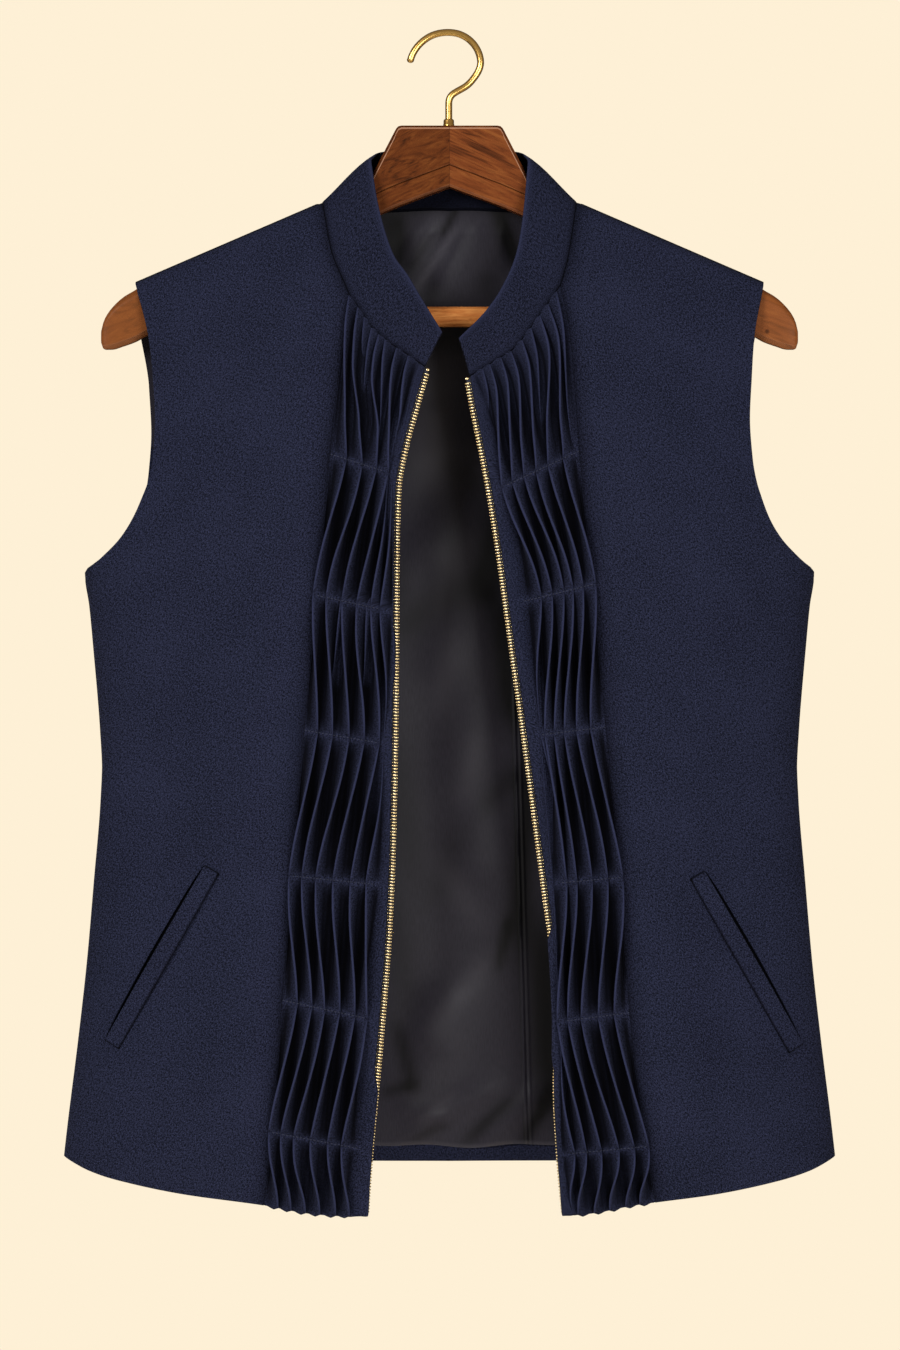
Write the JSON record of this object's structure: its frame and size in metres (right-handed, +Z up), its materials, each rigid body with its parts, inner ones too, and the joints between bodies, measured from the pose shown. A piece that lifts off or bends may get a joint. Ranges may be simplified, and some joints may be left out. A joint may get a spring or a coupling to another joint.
{
  "type": "nehru jacket on a wooden hanger",
  "caption": "Sleeveless stand-collar jacket with stitched wavy tucks beside an open front zip, hung on a wooden hanger with a wire hook.",
  "frame": {"origin": "the inner top of the hook, where it bears on the rod or peg that holds the hanger", "axes": "+Z up, the garment hangs down along -Z; the open front faces -Y; +X to the viewer's right"},
  "size_m": [0.4992, 0.095, 0.7634],
  "materials": {
    "wool": "navy worsted wool, matte",
    "lining": "charcoal satin lining",
    "tape": "dark woven zip tape",
    "brass": "polished brass",
    "walnut": "satin varnished walnut"
  },
  "bodies": {
    "root": {"back": "wool", "back_lining": "lining", "collar": "wool", "ferrule": "brass", "front_side_left": "wool", "front_side_right": "wool", "front_tucks_left": "wool", "front_tucks_right": "wool", "hanger_arm_left": "walnut", "hanger_arm_right": "walnut", "hanger_bar": "walnut", "hook": "brass", "pocket_welt_left": "wool", "pocket_welt_right": "wool", "zip_stop_left": "brass", "zip_stop_right": "brass", "zip_tape_left": "tape", "zip_tape_right": "tape"}
  },
  "joints": []
}
